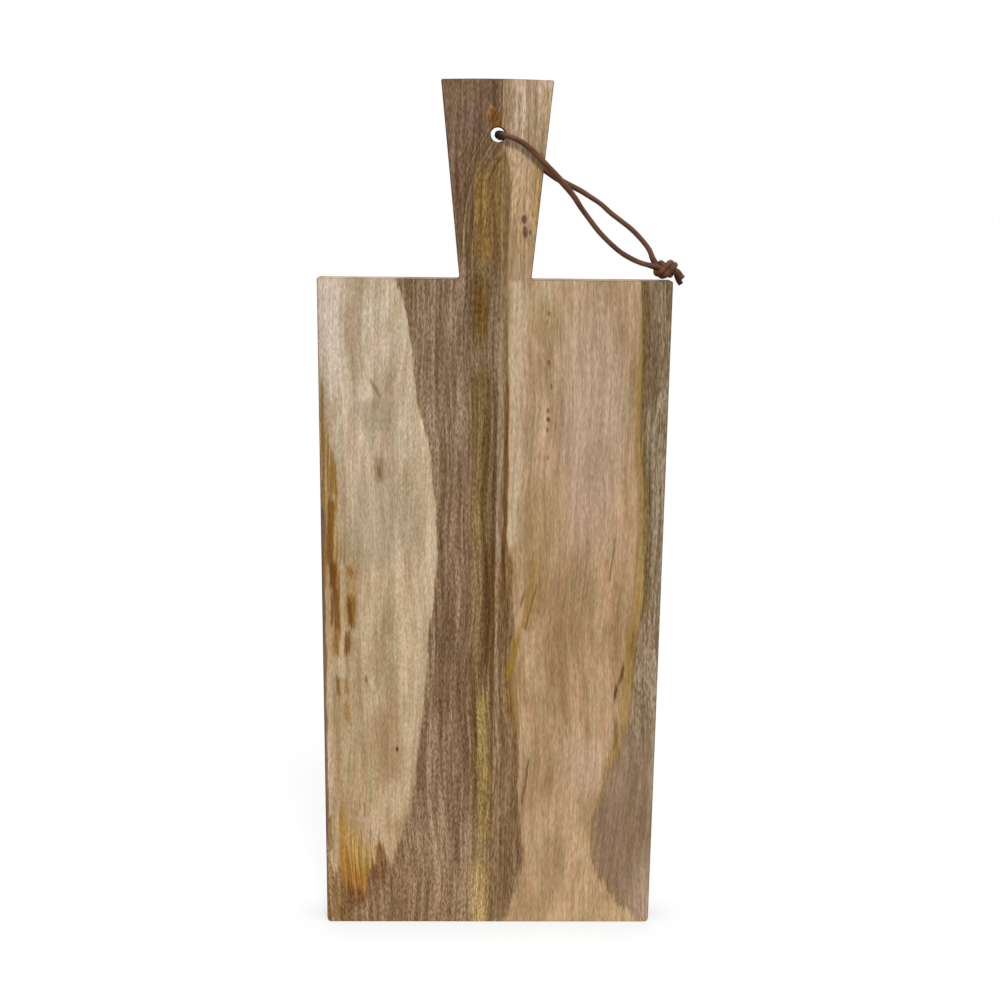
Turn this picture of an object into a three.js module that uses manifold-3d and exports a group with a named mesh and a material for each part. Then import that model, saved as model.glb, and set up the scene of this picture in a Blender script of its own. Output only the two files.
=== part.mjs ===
// Serving board of two edge-glued wood staves, with a flared handle and a knotted leather hanging cord.
// Millimetres, +Z up. The board stands on its foot, its front face looks along -Y,
// and the origin lies on the ground under its middle.
import * as THREE from 'three';
import { mergeVertices } from 'three/addons/utils/BufferGeometryUtils.js';
import Module from 'manifold-3d';

// Board blank
const boardLength = 500;
const boardWidth = 198;
const boardThickness = 15;
const handleLength = 107;
const handleTopWidth = 61;
const neckWidth = 40;
const handleTopCrown = 0.5;
const edgeRounding = 0.8;
const neckFilletRadius = 1.5;

// How much rounder the corners are than the edges
const footCornerBlend = 1.6;
const upperCornerBlend = 0.1;

// Glue seam between the staves, to the right of the middle
const seamOffset = 2;

// Drilled hanging hole
const holeDiameter = 8;
const holeBelowTop = 29;
const holeOffset = 0.6;
const holeMouthEasing = 0.5;

// Leather cord: one length, threaded through the hole and tied to itself with an overhand knot
const cordDiameter = 2.5;
const cordClearance = 0.3;
const cordSteps = 260;
const cordSides = 8;

// Overhand knot of the doubled cord: spacing of neighbouring strands, middle from the hole, and lean of its axis
const knotPitch = 3;
const knotRight = 95;
const knotDrop = 71.2;
const knotLean = 27;

// Derived places
const shoulderHeight = boardLength - handleLength;
const holeHeight = boardLength - holeBelowTop;
const holeCentre = new THREE.Vector3(holeOffset, 0, holeHeight);
const strandDepth = boardThickness / 2 + cordClearance + cordDiameter / 2;
const footCornerRadius = edgeRounding + footCornerBlend;
const upperCornerRadius = edgeRounding + upperCornerBlend;

const wasm = await Module();
wasm.setup();

function toSolid(geometry) {
  const bare = geometry.clone();
  bare.deleteAttribute('normal');
  bare.deleteAttribute('uv');
  const merged = mergeVertices(bare);
  return new wasm.Manifold(new wasm.Mesh({
    numProp: 3,
    vertProperties: new Float32Array(merged.attributes.position.array),
    triVerts: new Uint32Array(merged.index.array),
  }));
}

function toGeometry(solid) {
  const mesh = solid.getMesh();
  const geometry = new THREE.BufferGeometry();
  geometry.setAttribute('position', new THREE.BufferAttribute(new Float32Array(mesh.vertProperties), 3));
  geometry.setIndex(new THREE.BufferAttribute(new Uint32Array(mesh.triVerts), 1));
  geometry.computeVertexNormals();
  return geometry;
}

// Adds an outline corner at `corner`, rounded by `radius`, between the points before and after it.
function roundCorner(outline, before, corner, after, radius) {
  const towardsBefore = before.clone().sub(corner).normalize();
  const towardsAfter = after.clone().sub(corner).normalize();
  const halfAngle = towardsBefore.angleTo(towardsAfter) / 2;
  const reach = radius / Math.tan(halfAngle);
  const bisector = towardsBefore.clone().add(towardsAfter).normalize();
  const centre = corner.clone().addScaledVector(bisector, radius / Math.sin(halfAngle));
  const start = corner.clone().addScaledVector(towardsBefore, reach);
  const end = corner.clone().addScaledVector(towardsAfter, reach);
  const clockwise = towardsBefore.cross(towardsAfter) > 0;
  outline.lineTo(start.x, start.y);
  outline.absarc(
    centre.x, centre.y, radius,
    Math.atan2(start.y - centre.y, start.x - centre.x),
    Math.atan2(end.y - centre.y, end.x - centre.x),
    clockwise,
  );
}

// Front view of the board: foot, right side, right shoulder, handle, left shoulder, left side.
function boardOutline() {
  const side = boardWidth / 2;
  const neck = neckWidth / 2;
  const top = handleTopWidth / 2;
  const corners = [
    [new THREE.Vector2(-side, 0), footCornerRadius],
    [new THREE.Vector2(side, 0), footCornerRadius],
    [new THREE.Vector2(side, shoulderHeight), upperCornerRadius],
    [new THREE.Vector2(neck, shoulderHeight), neckFilletRadius],
    [new THREE.Vector2(top, boardLength - handleTopCrown), upperCornerRadius],
    [new THREE.Vector2(-top, boardLength - handleTopCrown), upperCornerRadius],
    [new THREE.Vector2(-neck, shoulderHeight), neckFilletRadius],
    [new THREE.Vector2(-side, shoulderHeight), upperCornerRadius],
  ];
  const handleTopRight = 4;
  const outline = new THREE.Shape();
  outline.moveTo(0, 0);
  for (let i = 1; i <= corners.length; i += 1) {
    const [corner, radius] = corners[i % corners.length];
    const before = corners[i - 1][0];
    const after = corners[(i + 1) % corners.length][0];
    roundCorner(outline, before, corner, after, radius);
    if (i === handleTopRight) {
      const crownEnd = 2 * upperCornerRadius - top;
      outline.quadraticCurveTo(0, boardLength + handleTopCrown, crownEnd, boardLength - handleTopCrown);
    }
  }
  outline.closePath();
  return outline;
}

// The glued-up blank, sawn to its outline, with every long edge rounded over, standing upright.
function boardBlank() {
  const geometry = new THREE.ExtrudeGeometry(boardOutline(), {
    depth: boardThickness - 2 * edgeRounding,
    curveSegments: 6,
    bevelEnabled: true,
    bevelThickness: edgeRounding,
    bevelSize: edgeRounding,
    bevelOffset: -edgeRounding,
    bevelSegments: 4,
  });
  geometry.translate(0, 0, edgeRounding - boardThickness / 2);
  geometry.rotateX(Math.PI / 2);
  return toSolid(geometry);
}

// The drilled hole as a turned plug, with its mouths eased on both faces.
function hangingHole() {
  const radius = holeDiameter / 2;
  const half = boardThickness / 2;
  const mouth = radius + holeMouthEasing;
  const past = half + holeMouthEasing;
  const profile = [
    new THREE.Vector2(0, -past),
    new THREE.Vector2(mouth + holeMouthEasing, -past),
    new THREE.Vector2(mouth, -half),
    new THREE.Vector2(radius, holeMouthEasing - half),
    new THREE.Vector2(radius, half - holeMouthEasing),
    new THREE.Vector2(mouth, half),
    new THREE.Vector2(mouth + holeMouthEasing, past),
    new THREE.Vector2(0, past),
  ];
  const geometry = new THREE.LatheGeometry(profile, 40);
  geometry.translate(holeCentre.x, holeCentre.y, holeCentre.z);
  return toSolid(geometry);
}

// One side of the blank, cut off square at the glue seam.
function stave(drilledBlank, side) {
  const room = boardLength + boardWidth;
  const keep = new THREE.BoxGeometry(room, room, 2 * room);
  keep.translate(seamOffset + side * room / 2, 0, 0);
  return toGeometry(drilledBlank.intersect(toSolid(keep)));
}

// Front strand of the loop, from the hole to the knot: right of the hole, depth as a share of the strand's
// depth over the handle, and below the hole.
const frontStrand = [
  [0.4, -0.33, 0.0],
  [0.8, -0.6, 0.1],
  [2.3, -0.88, 0.35],
  [4.6, -1, 0.8],
  [11.0, -1, 2.9],
  [16.5, -1, 6.6],
  [23.0, -1, 12.4],
  [28.6, -1, 18.0],
  [34.5, -1, 24.2],
  [41.6, -0.94, 32.2],
  [46.0, -0.84, 38.5],
  [51.1, -0.74, 45.0],
  [56.5, -0.64, 51.5],
  [63.2, -0.52, 57.9],
  [69.1, -0.42, 62.6],
  [74.9, -0.33, 65.9],
  [80.6, -0.25, 68.3],
  [86.0, -0.2, 69.7],
];

// Back strand of the loop, from the hole to the knot, in the same measures.
const backStrand = [
  [0.4, 0.33, 0.0],
  [0.6, 0.69, 0.2],
  [2.2, 0.95, 1.1],
  [5.0, 1, 2.9],
  [10.0, 1, 6.6],
  [17.0, 1, 12.0],
  [27.2, 1, 19.1],
  [35.7, 1, 24.2],
  [46.9, 0.92, 29.6],
  [52.5, 0.81, 33.0],
  [58.1, 0.71, 36.6],
  [63.7, 0.61, 41.4],
  [69.4, 0.52, 45.6],
  [75.0, 0.43, 49.8],
  [80.8, 0.34, 55.4],
  [85.6, 0.24, 61.4],
  [87.7, 0.16, 66.3],
];

// The front strand's way through the knot to its tail, in strand spacings: along the axis, across it, and depth.
// The other strand takes the same way turned half a turn about the knot's depth axis, end to start.
const knotPass = [
  [-1.5, -0.5, -0.5],
  [-0.5, -0.5, -0.5],
  [0.5, -0.5, -0.5],
  [1.1, -0.5, -0.3],
  [1.5, -0.6, 0.65],
  [1.5, 0.0, 1.5],
  [1.5, 1.05, 1.5],
  [1.4, 1.6, 0.7],
  [1.1, 1.6, -0.7],
  [0.9, 1.0, -1.55],
  [0.6, 0.0, -1.55],
  [0.35, -1.0, -1.55],
  [-0.05, -1.6, -0.7],
  [-0.4, -1.6, 0.7],
  [-0.5, -1.05, 1.5],
  [-0.5, 0.0, 1.5],
  [-0.2, 0.5, 0.7],
  [0.5, 0.5, 0.5],
  [1.5, 0.5, 0.5],
];

// Free ends past the knot, right of its middle, depth and below it: the lower one behind and the upper one in front.
const lowerTail = [
  [6.1, 1.6, 1.9],
  [6.9, 1.5, 4.2],
  [7.8, 1.4, 6.5],
  [9.0, 1.3, 8.4],
];
const upperTail = [
  [6.1, -1.6, 1.3],
  [7.8, -1.7, 3.1],
  [9.4, -1.7, 4.9],
];

function halfTurn([along, across, depth]) {
  return [-along, -across, depth];
}

function strandPoint([right, depth, below]) {
  return new THREE.Vector3(holeCentre.x + right, depth * strandDepth, holeHeight - below);
}

function tailPoint([right, depth, below]) {
  return new THREE.Vector3(holeCentre.x + knotRight + right, depth, holeHeight - knotDrop - below);
}

function knotPoint([along, across, depth]) {
  const lean = THREE.MathUtils.degToRad(knotLean);
  const right = along * Math.cos(lean) + across * Math.sin(lean);
  const below = along * Math.sin(lean) - across * Math.cos(lean);
  return tailPoint([right * knotPitch, depth * knotPitch, below * knotPitch]);
}

// The whole cord on one curve: lower tail, knot, front strand, hole, back strand, knot, upper tail.
function cordCurve() {
  const frontHalf = [...frontStrand.map(strandPoint), ...knotPass.map(knotPoint), ...lowerTail.map(tailPoint)];
  const backPass = knotPass.map(halfTurn).reverse();
  const backHalf = [...backStrand.map(strandPoint), ...backPass.map(knotPoint), ...upperTail.map(tailPoint)];
  return new THREE.CatmullRomCurve3([...frontHalf.reverse(), ...backHalf], false, 'centripetal');
}

// Least clear distance between stretches of the cord that are not neighbours along it.
function leastSelfGap(curve) {
  const length = curve.getLength();
  const spacing = 0.5;
  const count = Math.ceil(length / spacing);
  const points = curve.getSpacedPoints(count);
  const neighbours = Math.ceil(2 * cordDiameter / spacing);
  let least = Infinity;
  for (let i = 0; i < points.length; i += 1) {
    for (let j = i + neighbours; j < points.length; j += 1) {
      least = Math.min(least, points[i].distanceTo(points[j]));
    }
  }
  return least - cordDiameter;
}

function leatherCord() {
  const curve = cordCurve();
  const section = new THREE.Shape();
  for (let i = 0; i < cordSides; i += 1) {
    const angle = 2 * Math.PI * i / cordSides;
    const x = cordDiameter / 2 * Math.cos(angle);
    const y = cordDiameter / 2 * Math.sin(angle);
    if (i === 0) section.moveTo(x, y);
    else section.lineTo(x, y);
  }
  section.closePath();
  console.log(`leather_cord: length ${curve.getLength().toFixed(1)} mm, least gap ${leastSelfGap(curve).toFixed(2)} mm`);
  return new THREE.ExtrudeGeometry(section, { steps: cordSteps, bevelEnabled: false, extrudePath: curve });
}

function piece(name, geometry, color, roughness) {
  const material = new THREE.MeshStandardMaterial({ color, roughness, metalness: 0 });
  const mesh = new THREE.Mesh(geometry, material);
  mesh.name = name;
  return mesh;
}

const drilledBlank = boardBlank().subtract(hangingHole());
const servingBoard = new THREE.Group();
servingBoard.name = 'serving_board';
servingBoard.add(piece('left_stave', stave(drilledBlank, -1), 0x94795a, 0.6));
servingBoard.add(piece('right_stave', stave(drilledBlank, 1), 0xa98b6b, 0.6));
servingBoard.add(piece('leather_cord', leatherCord(), 0x5a3a2a, 0.5));

export default servingBoard;
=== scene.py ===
"""Looks of the serving board: two wood staves glued edge to edge, with a knotted leather cord.

Metres, in the frame's axes: the board stands on its foot, +Z runs up the grain and the front face looks along
-Y. Wood figure is written in millimetres on the front face: across from the board's middle, and along from
the foot.
"""
import math

import bmesh
import bpy
from mathutils import Matrix, Vector, geometry, noise


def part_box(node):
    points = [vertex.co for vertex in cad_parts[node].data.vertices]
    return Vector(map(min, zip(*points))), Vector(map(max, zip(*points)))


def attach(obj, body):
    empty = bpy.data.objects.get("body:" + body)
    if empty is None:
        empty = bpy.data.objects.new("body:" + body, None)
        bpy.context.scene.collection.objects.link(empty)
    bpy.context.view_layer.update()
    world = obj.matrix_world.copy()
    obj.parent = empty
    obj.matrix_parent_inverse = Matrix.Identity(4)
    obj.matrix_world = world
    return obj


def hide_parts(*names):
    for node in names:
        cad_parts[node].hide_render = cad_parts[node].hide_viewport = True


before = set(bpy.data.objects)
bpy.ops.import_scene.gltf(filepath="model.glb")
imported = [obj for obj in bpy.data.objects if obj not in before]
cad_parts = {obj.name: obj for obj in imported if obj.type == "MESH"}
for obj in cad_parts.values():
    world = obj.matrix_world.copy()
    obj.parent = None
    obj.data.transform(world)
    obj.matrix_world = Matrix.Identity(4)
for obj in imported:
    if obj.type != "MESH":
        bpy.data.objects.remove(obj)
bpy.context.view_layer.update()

MM = 0.001

# Board, from the frame
LEFT_LOW, LEFT_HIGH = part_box("left_stave")
RIGHT_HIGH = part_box("right_stave")[1]
FRONT = LEFT_LOW.y
BACK = LEFT_HIGH.y
FOOT = LEFT_LOW.z
TOP = LEFT_HIGH.z
SEAM = LEFT_HIGH.x

# Handle and hole
SHOULDER = TOP - 107 * MM
HALF_NECK = 20 * MM
HALF_HANDLE_END = 30.5 * MM
HANDLE_CROWN = 0.5 * MM
HOLE = Vector((0.6 * MM, 0, TOP - 29 * MM))
HOLE_RADIUS = 4 * MM

# Sanded edges
EDGE_ROUNDING = 0.8 * MM
FOOT_CORNER = 2.4 * MM
UPPER_CORNER = 0.9 * MM
NECK_FILLET = 1.5 * MM
HOLE_MOUTH = 0.5 * MM
ROW_STEP = 12.5 * MM
ON_PLANE = 1e-6

# Glue seam: it leans a little, to the right towards the top
SEAM_LEAN = 1.8 * MM / (TOP - FOOT)

# Leather cord; its knot is drawn up until the turns press together
CORD_DIAMETER = 2.8 * MM
STRAND_DEPTH = 9.15 * MM
KNOT_PITCH = 2.55 * MM
KNOT = HOLE + Vector((95, 0, -71.7)) * MM
KNOT_LEAN = math.radians(27)

# How much thicker the cord is in places, and how uneven it is, as shares of its thickness
HOLE_SWELL = 0.6
CROSSING_SWELL = 0.24
FREE_SWELL = 0.04
KNOT_SWELL = 0.28
CORD_UNEVENNESS = 0.08
UNEVEN_EVERY = 14 * MM


# Cord route

# Each strand from the hole to the knot: right of the hole and below it in millimetres, with the share of the
# strand's depth over the handle between them.
FRONT_STRAND = [
    (0.4, -0.33, 0.0), (0.8, -0.6, 0.1), (2.3, -0.88, 0.35), (4.6, -1, 0.8), (11.0, -1, 2.9), (16.5, -1, 6.6),
    (23.0, -1, 12.4), (28.6, -1, 18.0), (34.5, -1, 24.2), (41.6, -0.94, 32.2), (46.0, -0.84, 38.5),
    (51.1, -0.74, 45.0), (56.5, -0.64, 51.5), (63.2, -0.52, 57.9), (69.1, -0.42, 62.6), (74.9, -0.33, 65.9),
    (80.6, -0.25, 68.3), (86.0, -0.2, 69.7),
]
BACK_STRAND = [
    (0.4, 0.33, 0.0), (0.6, 0.69, 0.2), (2.2, 0.95, 1.1), (5.0, 1, 2.9), (10.0, 1, 6.6), (17.0, 1, 12.0),
    (27.2, 1, 19.1), (35.7, 1, 24.2), (46.9, 0.92, 29.6), (52.5, 0.81, 33.0), (58.1, 0.71, 36.6),
    (63.7, 0.61, 41.4), (69.4, 0.52, 45.6), (75.0, 0.43, 49.8), (80.8, 0.34, 55.4), (85.6, 0.24, 61.4),
    (87.7, 0.16, 66.3),
]
# Way through the knot in strand spacings: along its axis, across it, and depth.
KNOT_PASS = [
    (-1.5, -0.5, -0.5), (-0.5, -0.5, -0.5), (0.5, -0.5, -0.5), (1.1, -0.5, -0.3), (1.5, -0.6, 0.65),
    (1.5, 0.0, 1.5), (1.5, 1.05, 1.5), (1.4, 1.6, 0.7), (1.1, 1.6, -0.7), (0.9, 1.0, -1.55),
    (0.6, 0.0, -1.55), (0.35, -1.0, -1.55), (-0.05, -1.6, -0.7), (-0.4, -1.6, 0.7), (-0.5, -1.05, 1.5),
    (-0.5, 0.0, 1.5), (-0.2, 0.5, 0.7), (0.5, 0.5, 0.5), (1.5, 0.5, 0.5),
]
# Free ends past the knot in millimetres: right of its middle, depth, and below it.
LOWER_TAIL = [(6.1, 1.6, 1.9), (6.9, 1.5, 4.2), (7.8, 1.4, 6.5), (9.0, 1.3, 8.4)]
UPPER_TAIL = [(6.1, -1.6, 1.3), (7.8, -1.7, 3.1), (9.4, -1.7, 4.9)]


def strand_point(right, depth_share, below):
    return HOLE + Vector((right * MM, depth_share * STRAND_DEPTH, -below * MM))


def tail_point(right, depth, below):
    return KNOT + Vector((right, depth, -below)) * MM


def knot_point(along, across, depth):
    right = along * math.cos(KNOT_LEAN) + across * math.sin(KNOT_LEAN)
    up = across * math.cos(KNOT_LEAN) - along * math.sin(KNOT_LEAN)
    return KNOT + KNOT_PITCH * Vector((right, depth, up))


def cord_points():
    """The cord's points in order: lower tail, knot, front strand, hole, back strand, knot, upper tail."""
    front = [strand_point(*p) for p in FRONT_STRAND]
    front += [knot_point(*p) for p in KNOT_PASS]
    front += [tail_point(*p) for p in LOWER_TAIL]
    back = [strand_point(*p) for p in BACK_STRAND]
    back += [knot_point(-along, -across, depth) for along, across, depth in reversed(KNOT_PASS)]
    back += [tail_point(*p) for p in UPPER_TAIL]
    return front[::-1] + back


def smooth_line(points, per_span):
    """A centripetal curve through the points, as a fine line of points."""
    ends = [2 * points[0] - points[1], *points, 2 * points[-1] - points[-2]]
    line = [points[0]]
    for before, start, end, after in zip(ends, ends[1:], ends[2:], ends[3:]):
        lead = (start - before).length ** 0.5
        span = (end - start).length ** 0.5
        trail = (after - end).length ** 0.5
        leave = (start - before) / lead - (end - before) / (lead + span) + (end - start) / span
        arrive = (end - start) / span - (after - start) / (span + trail) + (after - end) / trail
        handles = (start + leave * span / 3, end - arrive * span / 3)
        line += geometry.interpolate_bezier(start, *handles, end, per_span + 1)[1:]
    return line


# Node trees

def tone(red, green, blue):
    """A colour written as it shows on screen, 0 to 255, as linear light."""
    shares = [c / 255 for c in (red, green, blue)]
    return (*[s / 12.92 if s <= 0.04045 else ((s + 0.055) / 1.055) ** 2.4 for s in shares], 1)


class Finish:
    """The node tree of one material. Each call adds a node and gives its output."""

    def __init__(self, name):
        self.material = bpy.data.materials.new(name)
        self.material.use_nodes = True
        self.tree = self.material.node_tree
        self.surface = self.tree.nodes["Principled BSDF"]

    def feed(self, socket, value):
        if isinstance(value, bpy.types.NodeSocket):
            self.tree.links.new(value, socket)
        else:
            socket.default_value = value

    def add(self, kind, inputs, **settings):
        node = self.tree.nodes.new(kind)
        for key, value in settings.items():
            setattr(node, key, value)
        for key, value in inputs.items():
            self.feed(node.inputs[key], value)
        return node.outputs

    def math(self, operation, first, second=0.0):
        return self.add("ShaderNodeMath", {0: first, 1: second}, operation=operation)[0]

    def ramp(self, value, low, high, to_low=0.0, to_high=1.0):
        """Soft step of a value from low to high, or from high down to low."""
        inputs = {0: value, 1: low, 2: high, 3: to_low, 4: to_high}
        return self.add("ShaderNodeMapRange", inputs, interpolation_type="SMOOTHSTEP")[0]

    def line(self, value, start, end, to_start, to_end):
        """Straight line through two values, going on past both."""
        inputs = {0: value, 1: start, 2: end, 3: to_start, 4: to_end}
        return self.add("ShaderNodeMapRange", inputs, clamp=False)[0]

    def blend(self, factor, under, over, blend_type="MIX"):
        inputs = {0: factor, 6: under, 7: over}
        return self.add("ShaderNodeMix", inputs, data_type="RGBA", blend_type=blend_type)[2]

    def point(self, x, y, z):
        return self.add("ShaderNodeCombineXYZ", {0: x, 1: y, 2: z})[0]

    def stretch(self, vector, *factors):
        return self.add("ShaderNodeVectorMath", {0: vector, 1: factors}, operation="MULTIPLY")[0]

    def noise(self, vector, detail=2.0, roughness=0.5):
        inputs = {"Vector": vector, "Scale": 1.0, "Detail": detail, "Roughness": roughness}
        return self.add("ShaderNodeTexNoise", inputs)[0]

    def noise_line(self, value, length, detail=2.0):
        """Noise along one measure, with features about as long as given."""
        inputs = {"W": value, "Scale": 1 / length, "Detail": detail}
        return self.add("ShaderNodeTexNoise", inputs, noise_dimensions="1D")[0]

    def curve(self, value, points, span, low, high):
        """A drawn curve: points of (place, height), place from 0 to span and height from low to high."""
        share = self.math("DIVIDE", value, span)
        node = self.tree.nodes.new("ShaderNodeFloatCurve")
        self.feed(node.inputs[1], share)
        drawn = node.mapping.curves[0].points
        spots = sorted((place / span, (height - low) / (high - low)) for place, height in points)
        drawn[0].location = spots[0]
        drawn[1].location = spots[-1]
        for spot in spots[1:-1]:
            drawn.new(*spot)
        node.mapping.update()
        return self.line(node.outputs[0], 0.0, 1.0, low, high)


# Wood

HALF_WIDTH_MM = 100
LENGTH_MM = 500
# How far red, green and blue move apart where oiled wood is darker or lighter.
OIL_TINT = (1.0, 1.17, 1.5)
# Tints of the patches in sapwood.
PINKISH = (1.03, 0.99, 0.995, 1)
GREENISH = (0.97, 1.01, 0.98, 1)
# Turn of the grain's noise, so that no face lies along its even rows.
GRAIN_TURN = (0.6, 0.5, 0.7)


class Wood(Finish):
    """Wood with its figure drawn on the front face and carried through the thickness."""

    def __init__(self, name, lean):
        super().__init__(name)
        place = self.add("ShaderNodeTexCoord", {})["Object"]
        in_mm = self.stretch(place, 1 / MM, 1 / MM, 1 / MM)
        x, y, z = self.add("ShaderNodeSeparateXYZ", {0: in_mm})
        self.along = z
        self.depth = self.math("SUBTRACT", y, FRONT / MM)
        drift = self.math("ADD", self.noise_line(z, 110), lean - 0.5)
        self.across = self.math("ADD", x, self.math("MULTIPLY", self.depth, drift))
        sway = self.noise(self.stretch(in_mm, 1 / 40, 1 / 40, 1 / 75), 0)
        swayed = self.math("ADD", self.across, self.line(sway, 0.3, 0.7, -2, 2))
        self.place = self.point(swayed, self.depth, self.along)
        self.fray = self.line(self.grain(0.9, 26), 0.3, 0.7, -1, 1)
        self.waver = self.line(self.grain(11, 16), 0.3, 0.7, -1, 1)
        self.frayed_along = self.math("ADD", z, self.math("MULTIPLY", self.fray, 4))
        self.wavy_across = self.math("ADD", self.across, self.math("MULTIPLY", self.waver, 0.5))

    def grain(self, width, length, detail=2.0, roughness=0.5):
        """Noise drawn out along the grain, with fibres about as wide and as long as given."""
        inputs = {"Vector": self.place, "Scale": (1 / width, 1 / width, 1 / length), "Rotation": GRAIN_TURN}
        return self.noise(self.add("ShaderNodeMapping", inputs)[0], detail, roughness)

    def edge(self, points):
        """Where a drawn edge runs: points of (along, across), foot to top."""
        return self.curve(self.frayed_along, points, LENGTH_MM, -HALF_WIDTH_MM, HALF_WIDTH_MM)

    def streak(self, top, foot, half_width, strength, fade=4.0):
        """Mask of one streak along the grain, from its top point to its foot point, both (across, along)."""
        middle = self.line(self.along, foot[1], top[1], foot[0], top[0])
        off = self.math("ABSOLUTE", self.math("SUBTRACT", self.wavy_across, middle))
        side = self.ramp(off, half_width * 1.5, half_width * 0.6, 0.0, strength)
        frayed = self.math("ADD", self.along, self.math("MULTIPLY", self.fray, fade))
        begin = self.ramp(frayed, foot[1] - fade, foot[1] + fade)
        end = self.ramp(frayed, top[1] + fade, top[1] - fade)
        return self.both(side, self.both(begin, end))

    def spot(self, middle, radii, strength):
        """Mask of one oval spot, its middle (across, along) and its radii across and along."""
        right = self.math("DIVIDE", self.math("SUBTRACT", self.wavy_across, middle[0]), radii[0])
        frayed = self.math("ADD", self.along, self.math("MULTIPLY", self.fray, 0.15 * radii[1]))
        up = self.math("DIVIDE", self.math("SUBTRACT", frayed, middle[1]), radii[1])
        off = self.math("ADD", self.both(right, right), self.both(up, up))
        return self.ramp(off, 1.6, 0.2, 0.0, strength)

    def both(self, first, second):
        return self.math("MULTIPLY", first, second)

    def near(self, offset, reach, strength):
        """Mask of a line: full where an offset is nothing, and none past its reach on either side."""
        return self.ramp(self.math("ABSOLUTE", offset), reach, 0.15 * reach, 0.0, strength)

    def paint_streaks(self, colour, streaks, fade=4.0):
        for top, foot, half_width, over, strength in streaks:
            colour = self.blend(self.streak(top, foot, half_width, strength, fade), colour, tone(*over))
        return colour

    def paint_spots(self, colour, spots):
        for middle, radii, over, strength in spots:
            colour = self.blend(self.spot(middle, radii, strength), colour, tone(*over))
        return colour

    def shade(self, colour, amount, reach, factor=1.0):
        """Darkens or lightens a colour by an amount from 0 to 1, even at 0.5, with blue changing most."""
        dark = (*[1 - reach * share for share in OIL_TINT], 1)
        light = (*[1 + reach * share for share in OIL_TINT], 1)
        return self.blend(factor, colour, self.blend(amount, dark, light), "MULTIPLY")


def straight_grain(wood, colour, figure, fleck, fibre_length):
    """Growth bands by the figure's strength, and fine fibres and pores by the fleck's, along the grain."""
    broad = wood.ramp(wood.grain(12, 240), 0.3, 0.7)
    colour = wood.shade(colour, broad, 0.1, figure)
    bands = wood.ramp(wood.grain(4.5, 190), 0.3, 0.7)
    colour = wood.shade(colour, bands, 0.2, figure)
    strands = wood.ramp(wood.grain(1.5, 36), 0.32, 0.68)
    colour = wood.shade(colour, strands, 0.27, figure)
    fibres = wood.ramp(wood.grain(0.7, fibre_length), 0.3, 0.7)
    colour = wood.shade(colour, fibres, 0.36, fleck)
    pores = wood.ramp(wood.grain(0.8, 3, 1), 0.62, 0.74)
    colour = wood.blend(wood.both(pores, fleck), colour, (0.68, 0.62, 0.54, 1), "MULTIPLY")
    return colour, fibres, pores


def mottle(wood, colour):
    """Darker, pinkish and greenish patches, as in oiled sapwood."""
    patches = wood.ramp(wood.grain(13, 60), 0.3, 0.7)
    colour = wood.shade(colour, patches, 0.18)
    blotches = wood.ramp(wood.grain(4, 14), 0.3, 0.7)
    colour = wood.shade(colour, blotches, 0.07)
    blush = wood.blend(wood.ramp(wood.grain(8, 26, 1), 0.35, 0.65), PINKISH, GREENISH)
    return wood.blend(1.0, colour, blush, "MULTIPLY")


def painted_edge_shade(wood, colour):
    """Painted shade on the rounded edges, and darker sawn ends and sides, partly the end grain's own tone and
    partly painted shade.
    """
    normal = wood.add("ShaderNodeNewGeometry", {})["Normal"]
    facing = wood.math("ABSOLUTE", wood.add("ShaderNodeSeparateXYZ", {0: normal})[1])
    # Sawn ends and sides: the end grain's own darker tone with painted shade.
    sawn_tone_and_shade = wood.ramp(facing, 0.8, 0.2, 0.0, 0.8)
    colour = wood.blend(sawn_tone_and_shade, colour, (0.72, 0.69, 0.64, 1), "MULTIPLY")
    # Painted shade on the rounded edges, darkest partway round where they turn from the front.
    rounding_shade = wood.both(wood.ramp(facing, 0.995, 0.85), wood.ramp(facing, 0.15, 0.5, 0.0, 0.8))
    return wood.blend(rounding_shade, colour, (0.46, 0.4, 0.34, 1), "MULTIPLY")


def close_wood(wood, colour, fibres, pores):
    wood.feed(wood.surface.inputs["Base Color"], painted_edge_shade(wood, colour))
    wood.feed(wood.surface.inputs["Roughness"], wood.ramp(fibres, 0.0, 1.0, 0.68, 0.56))
    wood.surface.inputs["Specular IOR Level"].default_value = 0.2
    height = wood.math("SUBTRACT", fibres, pores)
    bump = wood.add("ShaderNodeBump", {"Strength": 0.2, "Distance": 0.1 * MM, "Height": height})[0]
    wood.feed(wood.surface.inputs["Normal"], bump)
    return wood.material


# Left stave: pale sapwood outside, brown heartwood towards the seam

SAPWOOD_EDGE = [
    (0, -62), (35, -60), (50, -55.4), (65, -51.4), (81, -47.8), (97, -45.2), (117, -42.6), (136, -40.4),
    (152, -39.3), (170, -37.5), (183, -37.4), (190, -36.4), (202, -34.3), (215, -33.3), (238, -31.8),
    (250, -32.4), (266, -32.5), (274, -33.9), (281, -35), (294, -35.6), (305, -38.2), (316, -41.3),
    (331, -44.2), (352, -46.1), (369, -48.7), (383, -51.6), (393, -55.5), (420, -66), (500, -90),
]
# Lower tips of the sapwood: how far above the foot they reach, by place across from the left side.
SAPWOOD_FOOT = [
    (0, 70), (2.5, 58), (4.2, 36), (7, 30), (9.2, 34), (12.1, 26), (19.4, 18), (26, 24), (30, 37), (32.6, 47),
    (35.3, 48), (37.3, 43), (39.1, 36), (42.7, 40), (45.8, 51), (60, 51), (100, 51),
]
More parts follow.
